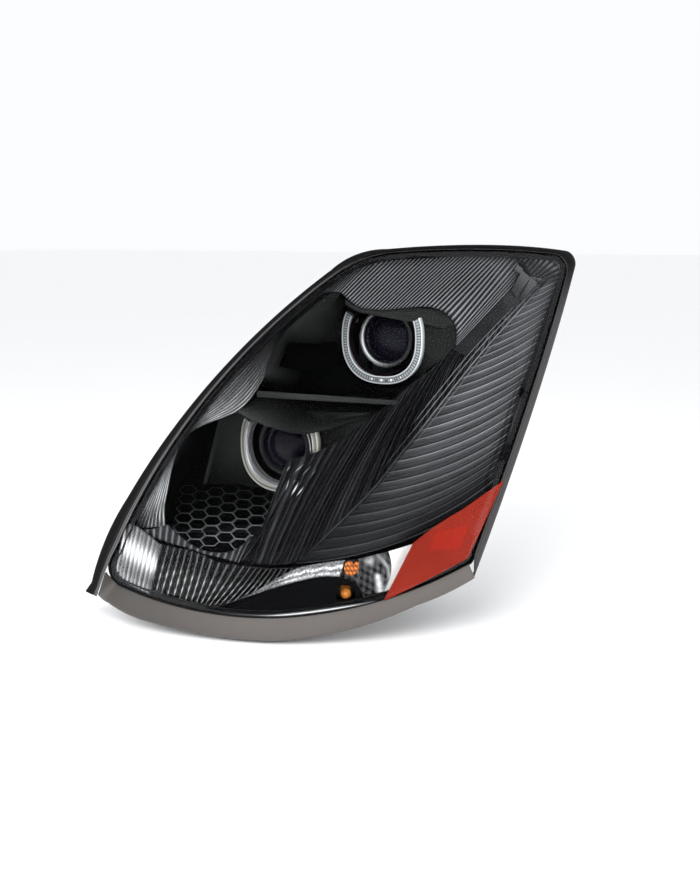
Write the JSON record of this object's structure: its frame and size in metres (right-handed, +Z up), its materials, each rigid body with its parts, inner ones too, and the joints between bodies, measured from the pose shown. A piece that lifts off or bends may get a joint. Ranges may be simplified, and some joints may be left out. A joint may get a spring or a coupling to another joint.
{
  "type": "vehicle headlight",
  "caption": "Wrap-round truck headlight: domed clear lens over stacked projectors with horseshoe light rings, a dark fluted bezel, a turn signal band and a red side reflex.",
  "frame": {"origin": "middle of the four rear mounting studs, on the flat back of the housing", "axes": "+Z up, -Y the way the beam points (vehicle forward), +X outboard (the driver's side of a left-hand-drive vehicle)"},
  "size_m": [0.5429, 0.5474, 0.524],
  "materials": {
    "clear_lens": "clear hard-coated polycarbonate",
    "black_plastic": "moulded black, fine texture",
    "black_rubber": "extruded, matt",
    "sealant": "cured sealant",
    "satin_trim": "warm grey satin paint",
    "dark_chrome": "smoked chrome plate on plastic",
    "grey_bezel": "grey, fine matt texture",
    "chrome_plastic": "bright vacuum-metallised plastic",
    "light_guide": "clear light guide with ribs",
    "circuit_board": "white solder mask",
    "optic_glass": "polished",
    "cast_metal": "as cast",
    "bright_reflector": "polished",
    "bulb": "clear glass on a moulded base",
    "amber_bulb": "amber coated glass",
    "red_reflex": "retroreflective, fine grid",
    "steel": "zinc plated",
    "nylon": "natural nylon"
  },
  "bodies": {
    "lamp_body": {"housing": "black_plastic", "lens_cover": "clear_lens", "lens_seal": "sealant", "edge_gasket": "black_rubber", "lower_trim": "satin_trim", "fluted_bezel": "dark_chrome", "upper_bezel": "grey_bezel", "lower_bezel": "grey_bezel", "centre_shelf": "grey_bezel", "upper_visor": "grey_bezel", "lower_visor": "grey_bezel", "side_panel": "grey_bezel", "honeycomb_grille": "chrome_plastic", "turn_reflector": "chrome_plastic", "marker_reflector": "chrome_plastic", "signal_shroud": "black_plastic", "side_reflex": "red_reflex", "reflex_insert": "red_reflex", "upper_light_ring": "light_guide", "upper_ring_board": "circuit_board", "upper_ring_reflector": "chrome_plastic", "lower_light_ring": "light_guide", "lower_ring_board": "circuit_board", "lower_ring_reflector": "chrome_plastic", "pivot_stud": "steel", "height_adjuster_bush": "nylon", "side_adjuster_bush": "nylon", "low_beam_cap_seal": "black_rubber", "high_beam_cap_seal": "black_rubber", "turn_socket_seal": "black_rubber", "marker_socket_seal": "black_rubber", "harness_inlet": "black_plastic", "inlet_pins": "steel", "mounting_studs": "steel"},
    "pivot_block": {"pivot_socket": "nylon"},
    "projector_carrier": {"aim_frame": "cast_metal", "cutoff_shield": "steel", "low_beam_lens": "optic_glass", "low_beam_retainer": "chrome_plastic", "low_beam_holder": "cast_metal", "low_beam_reflector": "bright_reflector", "low_beam_screws": "steel", "high_beam_lens": "optic_glass", "high_beam_retainer": "chrome_plastic", "high_beam_holder": "cast_metal", "high_beam_reflector": "bright_reflector", "high_beam_screws": "steel"},
    "low_beam_bulb": {"low_beam_bulb": "bulb"},
    "high_beam_bulb": {"high_beam_bulb": "bulb"},
    "low_beam_cap": {"low_beam_cap": "black_plastic"},
    "high_beam_cap": {"high_beam_cap": "black_plastic"},
    "height_rod": {"height_adjuster_rod": "steel"},
    "height_knob": {"height_adjuster_knob": "nylon"},
    "side_rod": {"side_adjuster_rod": "steel"},
    "side_knob": {"side_adjuster_knob": "nylon"},
    "turn_socket": {"turn_socket": "black_plastic", "turn_bulb": "amber_bulb"},
    "marker_socket": {"marker_socket": "black_plastic", "marker_bulb": "amber_bulb"}
  },
  "joints": [
    {"name": "aim_pitch", "type": "hinge", "parent": "lamp_body", "child": "pivot_block", "pos_m": [0.05668, -0.04439, 0.06339], "axis": [1, 0, 0], "range_deg": [-2, 2]},
    {"name": "aim_yaw", "type": "hinge", "parent": "pivot_block", "child": "projector_carrier", "pos_m": [0.05668, -0.04439, 0.06339], "axis": [0, 0, 1], "range_deg": [-1.5, 1.5]},
    {"name": "height_rod_slide", "type": "slide", "parent": "lamp_body", "child": "height_rod", "axis": [0, 1, 0], "range_m": [-0.0054, 0.0054]},
    {"name": "height_knob_turn", "type": "hinge", "parent": "lamp_body", "child": "height_knob", "pos_m": [0.05668, 0.02561, -0.08661], "axis": [0, 1, 0], "range_deg": [-960, 960]},
    {"name": "side_rod_slide", "type": "slide", "parent": "lamp_body", "child": "side_rod", "axis": [0, 1, 0], "range_m": [-0.0038, 0.0038]},
    {"name": "side_knob_turn", "type": "hinge", "parent": "lamp_body", "child": "side_knob", "pos_m": [0.19668, 0.14461, 0.06339], "axis": [0, 1, 0], "range_deg": [-680, 680]},
    {"name": "low_cap_twist", "type": "hinge", "parent": "lamp_body", "child": "low_beam_cap", "pos_m": [0.11138, 0.14461, 0.13439], "axis": [0, 1, 0], "range_deg": [0, 30]},
    {"name": "high_cap_twist", "type": "hinge", "parent": "lamp_body", "child": "high_beam_cap", "pos_m": [0.01628, 0.05461, -0.00771], "axis": [0, 1, 0], "range_deg": [0, 30]},
    {"name": "low_bulb_twist", "type": "hinge", "parent": "projector_carrier", "child": "low_beam_bulb", "pos_m": [0.11138, 0.01461, 0.13439], "axis": [0, 1, 0], "range_deg": [0, 20]},
    {"name": "high_bulb_twist", "type": "hinge", "parent": "projector_carrier", "child": "high_beam_bulb", "pos_m": [0.01628, -0.09959, -0.00771], "axis": [0, 1, 0], "range_deg": [0, 20]},
    {"name": "turn_socket_twist", "type": "hinge", "parent": "lamp_body", "child": "turn_socket", "pos_m": [0.08762, -0.17689, -0.21032], "axis": [-0.5056, 0.8414, -0.1908], "range_deg": [0, 45]},
    {"name": "marker_socket_twist", "type": "hinge", "parent": "lamp_body", "child": "marker_socket", "pos_m": [0.19414, -0.10175, -0.16124], "axis": [-0.5056, 0.8414, -0.1908], "range_deg": [0, 45]}
  ],
  "couplings": [
    {"joint": "height_rod_slide", "follows": "aim_pitch", "m_per_rad": 0.15},
    {"joint": "height_knob_turn", "follows": "aim_pitch", "ratio": -471.24},
    {"joint": "side_rod_slide", "follows": "aim_yaw", "m_per_rad": 0.14},
    {"joint": "side_knob_turn", "follows": "aim_yaw", "ratio": -439.82}
  ]
}
